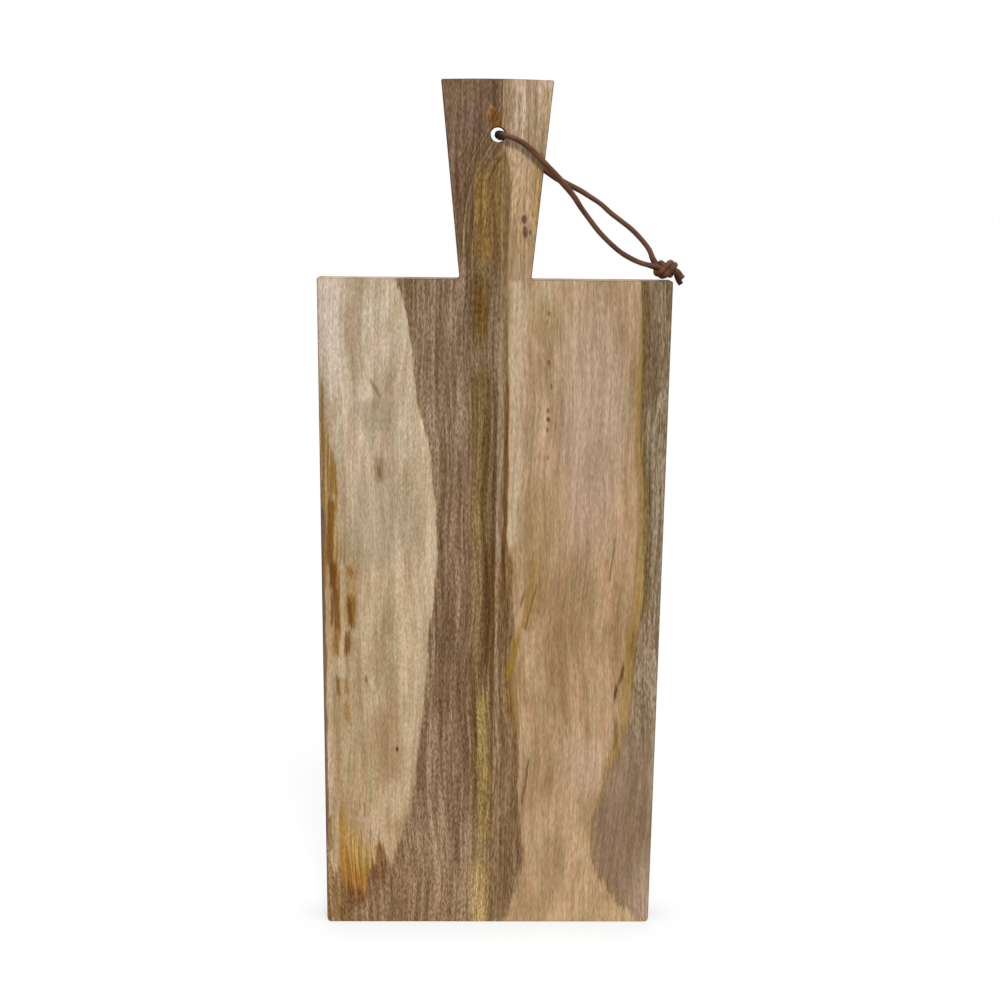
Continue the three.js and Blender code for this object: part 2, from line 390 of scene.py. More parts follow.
# Amber stain along the left side, as wide as it reaches.
AMBER_EDGE = [
    (0, -100), (160, -100), (168, -96.5), (175, -90.2), (189, -88.4), (207, -87.7), (231, -88.2),
    (243, -89.2), (267, -89.4), (287, -89.8), (296, -92.6), (306, -94.4), (318, -96.4), (331, -97.6),
    (352, -99), (393, -100), (500, -100),
]
SAPWOOD_PATCHES = [
    ((-92, 362), (7, 36), (205, 189, 173), 0.6),
    ((-65, 255), (20, 30), (179, 163, 137), 0.55),
    ((-63, 117), (9, 30), (160, 130, 93), 0.75),
    ((-57, 81), (7, 14), (197, 170, 137), 0.75),
    ((-72, 64), (8, 13), (196, 166, 135), 0.7),
]
SAPWOOD_STREAKS = [
    ((-65.8, 293), (-65.3, 277), 2.6, (156, 128, 94), 0.7),
    ((-65.4, 288), (-65.2, 280), 0.9, (122, 90, 56), 0.8),
    ((-70.5, 337), (-63.8, 326), 1.2, (128, 112, 62), 0.6),
    ((-73.8, 161), (-73.8, 156), 0.9, (121, 92, 55), 0.8),
    ((-90.4, 159), (-90.4, 147), 1.2, (132, 92, 44), 0.9),
    ((-85.6, 158), (-85.8, 147), 1.3, (154, 118, 70), 0.8),
    ((-85.6, 145), (-85.4, 131), 1.7, (156, 121, 64), 0.8),
    ((-78.6, 82), (-78.4, 74), 0.45, (122, 96, 62), 0.7),
    ((-75.6, 80), (-75.4, 71), 0.45, (122, 96, 62), 0.7),
    ((-78.0, 61), (-77.8, 53), 0.4, (118, 92, 62), 0.7),
    ((-72.4, 61), (-72.2, 53), 0.4, (118, 92, 62), 0.7),
    ((-67.2, 61), (-67.2, 54), 0.4, (112, 84, 56), 0.7),
    ((-96.5, 70), (-96.2, 48), 1.2, (134, 102, 64), 0.8),
]
AMBER_STREAKS_AND_EDGE_SHADE = [
    ((-97.4, 335), (-96.6, 226), 0.8, (132, 102, 62), 0.8),
    ((-92.0, 290), (-91.0, 270), 1.8, (134, 98, 40), 0.85),
    ((-92.6, 266), (-94.0, 230), 2.2, (122, 80, 24), 0.95),
    ((-92.6, 231), (-92.4, 208), 2.0, (106, 63, 14), 1.0),
    ((-90.0, 222), (-90.4, 206), 1.1, (140, 102, 54), 0.8),
    ((-90.8, 212), (-90.4, 186), 1.5, (114, 72, 24), 0.95),
    ((-95.4, 214), (-95.4, 164), 2.0, (178, 147, 110), 0.9),
    ((-93.2, 210), (-93.4, 190), 0.9, (112, 74, 30), 0.9),
    ((-90.5, 189), (-90.7, 173), 1.7, (142, 101, 52), 0.9),
    ((-87.0, 229), (-86.4, 176), 1.5, (192, 162, 120), 0.55),
    ((-83.2, 228), (-80.6, 221), 1.5, (130, 93, 42), 0.9),
    ((-82.0, 211), (-82.3, 190), 2.1, (134, 94, 38), 0.95),
    ((-82.9, 209), (-82.8, 192), 1.0, (106, 65, 18), 0.9),
    ((-84.3, 187), (-84.9, 174), 1.5, (122, 82, 42), 0.95),
    # Painted shade: a dark line down the left edge, where its rounding turns from the light.
    ((-97.9, 262), (-98.4, 52), 1.1, (108, 80, 60), 0.85),
]
AMBER_SPOTS = [
    ((-81.6, 214), (2.2, 9), (166, 132, 82), 0.8),
    ((-81.8, 224.5), (3.4, 6.0), (168, 134, 86), 0.7),
    ((-82.2, 200.5), (4.0, 12.5), (166, 130, 80), 0.7),
    ((-84.2, 181.0), (3.2, 9.0), (168, 130, 84), 0.7),
]
SAPWOOD_SPOTS = [
    ((-68, 316.5), (14, 9.0), (152, 140, 111), 0.55),
    ((-55.5, 114), (0.9, 1.7), (78, 50, 34), 0.95),
]
TIP_SPOTS = [
    ((-66.4, 45.5), (2.6, 8.5), (117, 73, 33), 0.95),
    ((-70.5, 31.0), (2.6, 7.0), (117, 76, 42), 0.85),
]
HEARTWOOD_SPOTS = [
    ((-27.3, 350), (13, 17), (120, 95, 68), 0.5),
    ((-27.1, 316), (11, 17), (137, 114, 92), 0.75),
    ((-25.5, 183), (8.5, 15), (107, 81, 56), 0.8),
    ((-26.0, 62), (20, 30), (142, 116, 88), 0.5),
    ((-67.0, 38), (5, 15), (117, 79, 44), 0.9),
    ((-83.0, 20), (10, 10), (117, 78, 42), 0.9),
    ((-87.0, 9), (5, 10), (121, 88, 50), 0.8),
]
HEARTWOOD_STREAKS = [
    ((-18.5, 298), (-18.3, 266), 2.3, (114, 91, 66), 0.6),
    ((-32.4, 298), (-32.0, 240), 1.8, (142, 118, 93), 0.6),
    ((-20.6, 264), (-17.8, 174), 2.4, (144, 116, 88), 0.7),
    ((-24.7, 135), (-24.6, 105), 1.4, (150, 124, 97), 0.6),
    ((-17.5, 135), (-16.1, 100), 1.7, (142, 113, 87), 0.5),
    ((-21.1, 135), (-20.9, 100), 1.7, (122, 95, 68), 0.5),
    ((-20.6, 34), (-19.8, -6), 2.9, (157, 130, 100), 0.6),
    ((-91.8, 24), (-91.4, -6), 1.1, (150, 122, 66), 0.7),
    ((-95.0, 40), (-95.4, 12), 0.9, (98, 72, 44), 0.7),
    ((-14.5, 170), (-12.2, 134), 2.0, (113, 86, 54), 0.6),
    ((-9.1, 396), (-8.2, 357), 5.0, (113, 85, 34), 0.9),
    ((-9.1, 390), (-8.4, 370), 2.0, (102, 72, 24), 0.85),
    ((-7.5, 341), (-6.0, 236), 5.4, (120, 96, 52), 0.85),
    ((-9.7, 264), (-7.4, 136), 2.3, (140, 113, 70), 0.75),
    ((-3.3, 308), (-2.5, 234), 3.4, (106, 83, 48), 0.85),
    ((0.1, 334), (1.2, 241), 1.0, (96, 74, 48), 0.85),
    ((-1.7, 241), (-0.9, 166), 3.6, (92, 63, 25), 0.95),
    ((0.2, 170), (0.6, 136), 1.4, (98, 69, 36), 0.9),
    ((0.6, 139), (1.4, 68), 0.9, (118, 89, 54), 0.8),
    ((-4.6, 150), (-3.1, 56), 3.3, (163, 136, 80), 0.9),
    ((-4.9, 62), (-4.7, 36), 3.0, (154, 128, 84), 0.7),
    ((-5.4, 40), (-5.0, -8), 4.8, (180, 150, 98), 0.9),
    ((-10.4, 174), (-9.3, 71), 1.5, (112, 84, 45), 0.85),
    ((-8.9, 130), (-8.2, 81), 0.7, (98, 71, 26), 0.7),
]
HANDLE_SPOTS = [
    ((-23.0, 491), (9, 6), (131, 106, 77), 0.6),
    ((-15.0, 477), (7, 10), (112, 86, 70), 0.6),
    ((-21.0, 445), (5, 14), (104, 75, 55), 0.6),
    ((-3.5, 492), (2.6, 4.0), (98, 74, 50), 0.7),
    ((-8.5, 440), (4.0, 16), (138, 110, 54), 0.7),
    ((-7.0, 410), (3.5, 14), (142, 106, 52), 0.6),
    ((-3.2, 483.5), (2.4, 3.0), (152, 116, 66), 0.7),
    ((-0.9, 479.5), (5.0, 5.4), (124, 79, 32), 0.95),
]
# Pointed arch of the grain in the handle: its height by place across, and its place across by height.
ARCH_HEIGHT = [
    (0, 300), (80.4, 380), (81.4, 400), (82.4, 420), (84.5, 438), (89.3, 452), (97.1, 466), (102, 472),
    (130, 500),
]
ARCH_SIDE = [
    (0, -20), (380, -19.2), (400, -18.6), (420, -17.6), (438, -15.5), (452, -10.7), (466, -2.9), (500, 14),
]


def distance_inside_arch(wood):
    """How far a place lies inside the handle's arch, square to its line, and less than nothing outside it."""
    from_side = wood.math("ADD", wood.across, HALF_WIDTH_MM)
    height = wood.curve(from_side, ARCH_HEIGHT, 130, 0, LENGTH_MM)
    below = wood.math("SUBTRACT", height, wood.along)
    side = wood.curve(wood.along, ARCH_SIDE, LENGTH_MM, -HALF_WIDTH_MM, HALF_WIDTH_MM)
    right = wood.math("SUBTRACT", wood.across, side)
    squares = wood.math("ADD", wood.both(below, below), wood.both(right, right))
    apart = wood.math("DIVIDE", wood.both(below, right), wood.math("SQRT", squares))
    return wood.both(wood.math("ABSOLUTE", apart), wood.math("SIGN", right))


def handle_heartwood(wood):
    """Darker brown of the handle, with a pointed arch below the hole and an amber spot above it."""
    colour = wood.blend(wood.ramp(wood.along, 400, 495), tone(106, 80, 54), tone(118, 92, 69))
    inside = distance_inside_arch(wood)
    colour = wood.blend(wood.ramp(inside, 0, 11), colour, tone(131, 101, 56))
    rings = wood.ramp(wood.noise_line(inside, 1.4, 2), 0.35, 0.65)
    colour = wood.shade(colour, rings, 0.38, wood.ramp(wood.math("ABSOLUTE", inside), 18, 4))
    colour = wood.blend(wood.near(inside, 0.9, 0.6), colour, tone(164, 137, 100))
    inner = wood.math("SUBTRACT", inside, 5.2)
    colour = wood.blend(wood.near(inner, 0.8, 0.45), colour, tone(166, 136, 88))
    return wood.paint_spots(colour, HANDLE_SPOTS)


def amber_stain(wood, colour):
    """Amber along the left side, with darker streaks and spots, and a painted shade line down the left edge.
    """
    past_amber = wood.math("SUBTRACT", wood.wavy_across, wood.edge(AMBER_EDGE))
    veins = wood.blend(wood.ramp(wood.grain(1.2, 60), 0.35, 0.65), tone(132, 96, 42), tone(180, 148, 98))
    colour = wood.blend(wood.ramp(past_amber, 1.2, -0.8, 0.0, 0.92), colour, veins)
    colour = wood.paint_spots(colour, AMBER_SPOTS)
    return wood.paint_streaks(colour, AMBER_STREAKS_AND_EDGE_SHADE, 3)


def orange_tips(wood, colour, over_foot):
    """Orange flame in the sapwood's lower tips, browner towards their ends."""
    golden_from = wood.line(wood.across, -89, -70, 70, 46)
    ragged = wood.math("ADD", wood.along, wood.math("MULTIPLY", wood.fray, 9))
    under = wood.math("SUBTRACT", golden_from, ragged)
    in_flame = wood.both(wood.ramp(wood.across, -91.5, -89.5), wood.ramp(wood.across, -64, -70))
    flame = wood.blend(wood.ramp(under, 8, 30), tone(186, 150, 86), tone(158, 109, 47))
    flame = wood.shade(flame, wood.ramp(wood.grain(1.0, 45), 0.36, 0.64), 0.26)
    colour = wood.blend(wood.both(wood.ramp(under, -10, 12), in_flame), colour, flame)
    colour = wood.blend(wood.ramp(over_foot, 7, 0, 0.0, 0.75), colour, tone(118, 77, 36))
    colour = wood.blend(wood.streak((-89.3, 78), (-89.6, 40), 1.3, 0.85), colour, tone(160, 116, 50))
    return wood.paint_spots(colour, TIP_SPOTS)


def left_sapwood(wood, off_edge, over_foot):
    """Sapwood, greyer up the board, with a pale rim, an amber stain and orange tips."""
    colour = wood.blend(wood.ramp(wood.along, 20, 210), tone(180, 151, 114), tone(179, 154, 121))
    colour = wood.blend(wood.ramp(wood.along, 210, 390), colour, tone(194, 173, 149))
    colour = wood.paint_spots(mottle(wood, colour), SAPWOOD_PATCHES)
    rim = wood.both(wood.ramp(off_edge, 13, 4), wood.ramp(wood.along, 60, 140, 0.0, 0.6))
    colour = wood.blend(rim, colour, tone(198, 176, 145))
    colour = wood.paint_streaks(colour, SAPWOOD_STREAKS, 2)
    colour = wood.paint_spots(colour, SAPWOOD_SPOTS)
    return orange_tips(wood, amber_stain(wood, colour), over_foot)


def left_heartwood(wood, in_handle):
    """Brown heartwood with olive, yellow and dark streaks, and the handle's darker wood above it."""
    colour = wood.blend(wood.ramp(wood.along, 0, 160), tone(141, 112, 82), tone(128, 101, 74))
    colour = wood.blend(wood.ramp(wood.along, 260, 370), colour, tone(134, 109, 84))
    colour = wood.paint_spots(colour, HEARTWOOD_SPOTS)
    colour = wood.paint_streaks(colour, HEARTWOOD_STREAKS, 7)
    golden_foot = wood.both(wood.ramp(wood.across, -84, -93), wood.ramp(wood.along, 56, 44, 0.0, 0.45))
    colour = wood.blend(golden_foot, colour, tone(144, 108, 62))
    return wood.blend(in_handle, colour, handle_heartwood(wood))


def left_stave_wood():
    wood = Wood("left_stave_wood", -0.25)
    off_edge = wood.math("SUBTRACT", wood.edge(SAPWOOD_EDGE), wood.across)
    from_side = wood.math("ADD", wood.across, HALF_WIDTH_MM)
    sap_foot = wood.curve(from_side, SAPWOOD_FOOT, HALF_WIDTH_MM, 0, LENGTH_MM)
    teeth = wood.line(wood.grain(2.4, 60), 0.3, 0.7, -7, 7)
    over_foot = wood.math("SUBTRACT", wood.math("ADD", wood.frayed_along, teeth), sap_foot)

    soft_above = wood.ramp(wood.along, 130, 95, 0.6, 4)
    soft_below = wood.ramp(wood.along, 55, 80, 1.3, 4)
    past_edge = wood.math("DIVIDE", off_edge, wood.math("MINIMUM", soft_above, soft_below))
    sap = wood.both(wood.ramp(past_edge, -1, 1), wood.ramp(over_foot, -3, 3))
    in_handle = wood.ramp(wood.frayed_along, 393, 410)
    sapwood = left_sapwood(wood, off_edge, over_foot)
    colour = wood.blend(sap, left_heartwood(wood, in_handle), sapwood)
    broken = wood.ramp(wood.noise_line(wood.along, 14), 0.4, 0.6)
    rim_line = wood.both(wood.near(off_edge, 1.1, 0.55), wood.both(broken, wood.ramp(wood.along, 110, 150)))
    colour = wood.blend(rim_line, colour, tone(140, 110, 66))
    calm = wood.ramp(in_handle, 0, 1, 1.0, 0.92)
    figure = wood.both(wood.ramp(sap, 0, 1, 1.0, 0.36), calm)
    fleck = wood.both(wood.ramp(sap, 0, 1, 1.0, 0.44), calm)
    colour, fibres, pores = straight_grain(wood, colour, figure, fleck, 2.6)
    return close_wood(wood, colour, fibres, pores)


# Right stave: pinkish sapwood between two brown edges

HEART_STRIP_EDGE = [
    (0, 9), (15, 14.2), (30, 18.6), (40, 21.2), (52, 20.1), (68, 18.7), (88, 16.6), (100, 17.6), (117, 16.7),
    (139, 13.4), (152, 11.4), (175, 10.2), (189, 13.3), (211, 11.8), (232, 11.5), (244, 8.4), (285, 8.2),
    (334, 7.8), (382, 7.1), (410, 6.8), (440, 8), (458, 6), (470, 1), (500, -6),
]
OUTER_EDGE = [
    (0, 96), (7, 88), (12, 80.5), (22, 74.6), (30, 68.9), (40, 63.8), (60, 62.6), (70, 63), (83, 67.3),
    (98, 71.3), (104, 73.6), (112, 77.4), (122, 81), (136, 83.2), (152, 83.7), (170, 84.8), (184, 85.9),
    (203, 88.8), (220, 89.3), (237, 88.1), (260, 87.7), (282, 86.4), (301, 83.9), (321, 83.5), (340, 83.7),
    (370, 82.9), (393, 81.7), (500, 80),
]
RIGHT_PATCHES = [
    ((56, 308), (18, 75), (182, 154, 130), 0.75),
    ((59, 104), (17, 20), (192, 160, 132), 0.75),
    ((44, 75), (9, 22), (190, 156, 123), 0.6),
    ((27.3, 256), (11, 26), (160, 131, 90), 0.75),
    ((25.7, 217), (9, 20), (154, 123, 80), 0.75),
    ((27.4, 372), (8, 13), (164, 134, 92), 0.6),
]
RIGHT_STREAKS = [
    ((11.4, 392), (13.0, 267), 3.2, (190, 165, 135), 0.8),
    ((11.4, 290), (11.2, 240), 2.0, (192, 168, 138), 0.9),
    ((23.4, 224), (18.4, 190), 1.3, (158, 121, 58), 0.8),
    ((25.4, 232), (23.3, 189), 2.6, (156, 122, 74), 0.7),
    ((25.8, 217), (20.0, 190), 0.6, (118, 90, 52), 0.8),
    ((18.8, 212), (16.6, 203), 0.6, (118, 90, 52), 0.8),
    ((23.8, 108), (19.6, 79), 0.5, (112, 84, 56), 0.85),
    ((70.9, 245), (68.8, 220), 0.45, (122, 96, 70), 0.8),
    ((22.6, 458), (22.4, 424), 1.6, (166, 132, 78), 0.7),
    ((26.9, 496), (25.6, 468), 1.2, (160, 130, 82), 0.7),
    ((12.2, 494), (12.4, 470), 0.9, (140, 114, 84), 0.6),
    ((15.2, 436), (15.2, 430), 0.5, (128, 98, 72), 0.8),
]
# How far the golden stain reaches in from the outer edge, by height.
GOLD_REACH = [
    (0, 1), (80, 2), (100, 6), (120, 9), (150, 10), (175, 10), (200, 9), (225, 8), (250, 4.5), (335, 4.5),
    (385, 1.2), (500, 1),
]
GOLD_STREAKS = [
    ((83.4, 190), (83.0, 172), 0.9, (124, 94, 46), 0.8),
    ((78.2, 167), (76.8, 156), 0.9, (84, 56, 30), 0.9),
    ((75.2, 158), (74.0, 146), 0.9, (84, 56, 30), 0.9),
    ((75.0, 132), (75.4, 117), 1.1, (124, 94, 62), 0.8),
    ((79.8, 130), (80.4, 108), 1.5, (130, 101, 72), 0.8),
]
RIGHT_SPOTS = [
    ((30.1, 374.5), (0.9, 1.7), (118, 86, 54), 0.8),
    ((29.1, 369.5), (0.7, 1.6), (132, 102, 66), 0.8),
    ((30.7, 347), (0.9, 1.9), (112, 80, 50), 0.8),
    ((32.1, 333.5), (0.8, 1.7), (120, 88, 56), 0.8),
    ((30.6, 319.5), (0.9, 1.7), (114, 78, 44), 0.8),
    ((30.7, 314.5), (1.0, 1.6), (98, 62, 34), 0.9),
    ((30.3, 308.5), (0.8, 1.7), (120, 88, 56), 0.8),
    ((31.2, 292.5), (0.8, 1.7), (118, 86, 56), 0.7),
    ((15.8, 425.8), (1.7, 2.5), (92, 62, 42), 0.95),
    ((16.1, 419.0), (1.4, 3.4), (92, 62, 42), 0.95),
    ((18.7, 418.8), (0.9, 1.6), (104, 74, 50), 0.85),
]
STRIP_STREAKS = [
    ((3.5, 374), (3.8, 236), 1.8, (148, 124, 97), 0.95),
    ((2.7, 236), (3.4, 136), 1.0, (148, 122, 95), 0.8),
    ((3.4, 136), (3.8, -6), 1.7, (156, 127, 95), 0.8),
    ((4.7, 393), (6.6, 334), 1.1, (122, 97, 58), 0.8),
    ((7.3, 336), (7.2, 266), 1.25, (108, 75, 28), 0.95),
    ((7.2, 270), (5.8, 202), 1.25, (100, 67, 25), 0.95),
    ((10.0, 236), (10.3, 209), 1.3, (122, 91, 54), 0.85),
    ((7.0, 206), (8.3, 166), 3.0, (110, 85, 51), 0.85),
    ((11.0, 166), (11.6, 134), 2.0, (128, 95, 42), 0.85),
    ((15.0, 187), (11.4, 161), 1.9, (148, 114, 36), 0.85),
    ((13.6, 152), (15.6, 122), 1.8, (148, 115, 62), 0.7),
    ((16.0, 85), (18.3, 35), 1.2, (116, 87, 60), 0.85),
]
OUTER_PATCHES = [
    ((94, 172), (7, 30), (150, 126, 101), 0.6),
    ((72, 60), (8, 24), (132, 104, 80), 0.5),
]
SEAM_LINE = [((3.5, 464), (3.3, 376), 0.7, (156, 133, 106), 0.55)]


def right_sapwood(wood, to_outer):
    """Pinkish sapwood, with gold along its outer edge, dark dashes and specks."""
    colour = wood.blend(wood.ramp(wood.along, 0, 120), tone(181, 149, 112), tone(171, 138, 103))
    colour = wood.blend(wood.ramp(wood.along, 180, 390), colour, tone(172, 144, 112))
    upper = wood.blend(wood.ramp(wood.along, 440, 490), tone(161, 131, 95), tone(178, 153, 125))
    colour = wood.blend(wood.ramp(wood.along, 390, 420), colour, upper)
    colour = wood.paint_spots(mottle(wood, colour), RIGHT_PATCHES)
    reach = wood.curve(wood.frayed_along, GOLD_REACH, LENGTH_MM, 0, 10)
    gold = wood.ramp(wood.math("DIVIDE", to_outer, reach), 1, 0.4, 0.0, 0.85)
    veins = wood.blend(wood.ramp(wood.grain(1.2, 45), 0.35, 0.65), tone(146, 113, 50), tone(164, 133, 80))
    colour = wood.blend(gold, colour, veins)
    colour = wood.paint_streaks(colour, GOLD_STREAKS, 3)
    colour = wood.paint_streaks(colour, RIGHT_STREAKS, 1.5)
    return wood.paint_spots(colour, RIGHT_SPOTS)


def heart_strip(wood):
    """Brown of the narrow heartwood strip at the seam."""
    strip = wood.blend(wood.ramp(wood.along, 100, 180), tone(138, 109, 77), tone(124, 97, 62))
    strip = wood.blend(wood.ramp(wood.along, 230, 250), strip, tone(134, 108, 78))
    return wood.blend(wood.ramp(wood.along, 380, 400), strip, tone(126, 99, 60))


def outer_wood(wood, to_outer):
    """Brown wood along the right side, olive next to the sapwood and paler in the foot's corner."""
    outer = wood.blend(wood.ramp(wood.along, 60, 180), tone(142, 115, 90), tone(133, 113, 88))
    olive = wood.both(wood.ramp(to_outer, -5, -2), wood.ramp(wood.along, 170, 210, 0.0, 0.8))
    outer = wood.blend(olive, outer, tone(122, 99, 62))
    outer = wood.paint_spots(mottle(wood, outer), OUTER_PATCHES)
    pale_corner = wood.both(wood.ramp(wood.across, 84, 97), wood.ramp(wood.along, 60, 25, 0.0, 0.85))
    return wood.blend(pale_corner, outer, tone(172, 146, 121))


def right_stave_wood():
    wood = Wood("right_stave_wood", 0.25)
    past_strip = wood.math("SUBTRACT", wood.across, wood.edge(HEART_STRIP_EDGE))
    to_outer = wood.math("SUBTRACT", wood.edge(OUTER_EDGE), wood.across)

    brown = wood.ramp(past_strip, 0.7, -0.7)
    colour = wood.blend(brown, right_sapwood(wood, to_outer), heart_strip(wood))
    colour = wood.paint_streaks(colour, STRIP_STREAKS)
    colour = wood.paint_streaks(colour, SEAM_LINE)

    softness = wood.ramp(wood.along, 165, 110, 0.7, 2.6)
    outside = wood.ramp(wood.math("DIVIDE", to_outer, softness), 1, -1)
    colour = wood.blend(outside, colour, outer_wood(wood, to_outer))
    rim_line = wood.both(wood.near(to_outer, 1.1, 0.6), wood.ramp(wood.along, 120, 170, 0.4, 1.0))
    colour = wood.blend(rim_line, colour, tone(112, 86, 46))

    streaky = wood.both(outside, wood.ramp(wood.along, 90, 160, 0.1, 0.9))
    grainy = wood.both(brown, wood.ramp(wood.along, 225, 250, 1.0, 0.45))
    in_handle = wood.ramp(wood.along, 385, 430, 0.0, 0.5)
    dark_wood = wood.math("MAXIMUM", wood.math("MAXIMUM", grainy, streaky), in_handle)
    figure = wood.ramp(dark_wood, 0, 1, 0.38, 1.0)
    fleck = wood.ramp(dark_wood, 0, 1, 0.42, 1.0)
    colour, fibres, pores = straight_grain(wood, colour, figure, fleck, 4.0)
    return close_wood(wood, colour, fibres, pores)


# Leather

def leather():
    finish = Finish("brown_leather")
    straight = finish.add("ShaderNodeAttribute", {}, attribute_name="straight")["Vector"]
    worn = finish.noise(finish.stretch(straight, 0.12, 0.4, 0.4), 3)
    grain = finish.noise(finish.stretch(straight, 1.6, 1.6, 1.6), 2, 0.6)
    colour = finish.blend(finish.ramp(worn, 0.3, 0.7), tone(80, 50, 34), tone(108, 69, 47))
    colour = finish.blend(finish.ramp(grain, 0.5, 0.75, 0.0, 0.35), colour, tone(68, 41, 30))
    # Painted shade: the cord turns dark inside the hole, where the hole shades it.
    hole_shade = finish.add("ShaderNodeAttribute", {}, attribute_name="hole_shade")["Fac"]
    colour = finish.blend(hole_shade, colour, tone(44, 30, 25))
    finish.feed(finish.surface.inputs["Base Color"], colour)
    finish.feed(finish.surface.inputs["Roughness"], finish.ramp(grain, 0.2, 0.8, 0.5, 0.64))
    finish.surface.inputs["Specular IOR Level"].default_value = 0.2
    bump = finish.add("ShaderNodeBump", {"Strength": 0.25, "Distance": 0.08 * MM, "Height": grain})[0]
    finish.feed(finish.surface.inputs["Normal"], bump)
    return finish.material


# Pieces

def add_object(name, mesh, material):
    mesh.materials.append(material)
    piece = bpy.data.objects.new(name, mesh)
    bpy.context.scene.collection.objects.link(piece)
    return piece


def seam_at(height):
    return SEAM + SEAM_LEAN * (height - (FOOT + TOP) / 2)


def hole_arc(side):
    """The stave's part of the hole's rim, from the seam above the hole round to the seam below it."""
    seam_angle = math.acos((seam_at(HOLE.z) - HOLE.x) / HOLE_RADIUS)
    sweep = -2 * seam_angle if side > 0 else 2 * (math.pi - seam_angle)
    steps = round(abs(sweep) / math.radians(8))
    angles = [seam_angle + sweep * i / steps for i in range(steps + 1)]
    return [(HOLE.x + HOLE_RADIUS * math.cos(a), HOLE.z + HOLE_RADIUS * math.sin(a)) for a in angles]


def stave_outline(side, outer):
    """Front outline of one stave as (across, up), and the radius of each of its rounded corners."""
    corners = [
        ((outer, FOOT), FOOT_CORNER),
        ((outer, SHOULDER), UPPER_CORNER),
        ((side * HALF_NECK, SHOULDER), NECK_FILLET),
        ((side * HALF_HANDLE_END, TOP - HANDLE_CROWN), UPPER_CORNER),
    ]
    crown = []
    for share in (0.75, 0.5, 0.25):
        crown.append((side * share * HALF_HANDLE_END, TOP - HANDLE_CROWN * share ** 2))
    places = [place for place, _ in corners]
    outline = [(seam_at(FOOT), FOOT), *places, *crown, (seam_at(TOP), TOP), *hole_arc(side)]
    return outline, corners


def round_edges(bm, edges, radius, segments):
    bmesh.ops.bevel(
        bm, geom=edges, offset=radius, offset_type="OFFSET", segments=segments, profile=0.5,
        affect="EDGES", material=-1, clamp_overlap=False,
    )


def on_seam(vertex):
    return abs(vertex.co.x - seam_at(vertex.co.z)) < 0.05 * MM


def on_hole(vertex):
    return math.hypot(vertex.co.x - HOLE.x, vertex.co.z - HOLE.z) < HOLE_RADIUS + ON_PLANE


def stave_blank(outline):
    """A stave's outline carried through the thickness."""
    bm = bmesh.new()
    front = bm.faces.new([bm.verts.new((x, FRONT, z)) for x, z in outline])
    grown = bmesh.ops.extrude_face_region(bm, geom=[front])["geom"]
    back = [v for v in grown if isinstance(v, bmesh.types.BMVert)]
    bmesh.ops.translate(bm, verts=back, vec=(0, BACK - FRONT, 0))
    bmesh.ops.recalc_face_normals(bm, faces=bm.faces)
    return bm


def round_corners(bm, corners):
    """Rounds the outline's corners through the thickness."""
    for (x, z), radius in corners:
        post = [
            e for e in bm.edges
            if all(abs(v.co.x - x) < ON_PLANE and abs(v.co.z - z) < ON_PLANE for v in e.verts)
        ]
        round_edges(bm, post, radius, 4)


def sand_edges(bm):
    """Rounds the edges of both faces and eases the hole's mouths, and leaves the glue seam sharp."""
    rim = [e for e in bm.edges if abs(e.verts[0].co.y - e.verts[1].co.y) < ON_PLANE]
    mouth = [e for e in rim if all(on_hole(v) for v in e.verts)]
    outside = [e for e in rim if e not in mouth and not all(on_seam(v) for v in e.verts)]
    round_edges(bm, outside, EDGE_ROUNDING, 5)
    mouth = [e for e in mouth if e.is_valid]
    round_edges(bm, mouth, HOLE_MOUTH, 3)


def cut_rows(bm):
    """Cuts the stave's tall faces into level rows."""
    for row in range(1, int((TOP - FOOT) / ROW_STEP)):
        everything = bm.verts[:] + bm.edges[:] + bm.faces[:]
        height = FOOT + row * ROW_STEP
        bmesh.ops.bisect_plane(bm, geom=everything, plane_co=(0, 0, height), plane_no=(0, 0, 1))


def stave(name, side, outer, material):
    """One stave, cut square at the seam, with its part of the hole, rounded edges and eased hole mouths."""
    outline, corners = stave_outline(side, outer)
    bm = stave_blank(outline)
    round_corners(bm, corners)
    sand_edges(bm)
    cut_rows(bm)
    for face in bm.faces:
        face.smooth = True
    mesh = bpy.data.meshes.new(name)
    bm.to_mesh(mesh)
    bm.free()
    mesh.set_sharp_from_angle(angle=math.radians(40))
    piece = add_object(name, mesh, material)
    piece.modifiers.new("even_shading", "WEIGHTED_NORMAL").keep_sharp = True
    return piece


def off_axis(place):
    """Distance of a place from the hole's axis, in millimetres."""
    return math.hypot(place.x - HOLE.x, place.z - HOLE.z) / MM


def rise(value, start, end):
    """Straight rise from 0 where a value is at start, to 1 where it is at end and past it."""
    return min(1.0, max(0.0, (value - start) / (end - start)))


def swelling(place):
    """How thick the cord is for its usual thickness: more in the hole, at the crossing and in the knot."""
    from_hole = (place - HOLE).length / MM
    from_knot = (place - KNOT).length / MM
    squeezed = rise(off_axis(place), 3.2, 2.0)
    crossing = rise(abs(from_hole - 42), 20, 0)
    drawn_up = rise(from_knot, 12, 7)
    free = rise(from_hole, 34, 42) * (1 - drawn_up)
    in_loop = CROSSING_SWELL * crossing + FREE_SWELL * free
    return 1 + HOLE_SWELL * squeezed + in_loop + KNOT_SWELL * drawn_up


def lengths_along(line):
    """How much of a line lies before each of its points."""
    lengths = [0.0]
    for before, place in zip(line, line[1:]):
        lengths.append(lengths[-1] + (place - before).length)
    return lengths


